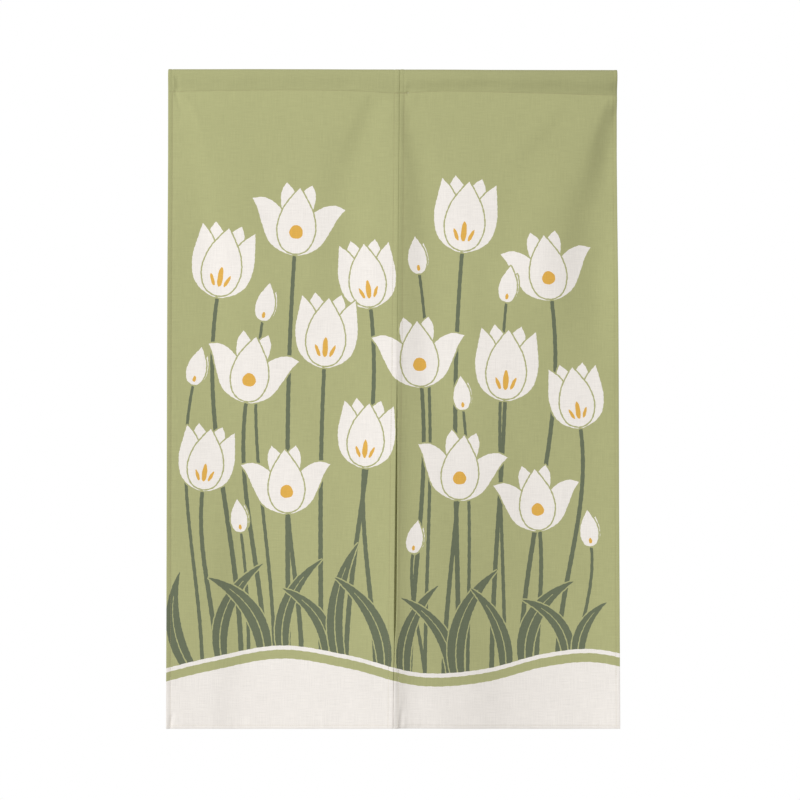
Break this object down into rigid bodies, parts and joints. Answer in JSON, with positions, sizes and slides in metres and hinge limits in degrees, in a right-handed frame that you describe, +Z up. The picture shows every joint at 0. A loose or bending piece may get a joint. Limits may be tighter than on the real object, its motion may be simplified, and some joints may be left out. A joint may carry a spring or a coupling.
{
  "type": "split door curtain",
  "caption": "Flat door curtain of linen-look cloth in two hemmed panels, joined above a middle slit, with a rod pocket along the top and a leaf and flower print.",
  "frame": {"origin": "middle of the top edge, above the stitch line of the rod pocket", "axes": "+Z up, +X to the right of someone facing the printed side, printed side towards -Y"},
  "size_m": [0.8262, 0.0403, 1.2041],
  "materials": {
    "linen": "matte plain-weave linen look, printed on the front",
    "thread": "matte spun sewing thread"
  },
  "bodies": {
    "root": {"panel_left": "linen", "panel_right": "linen"}
  },
  "joints": []
}
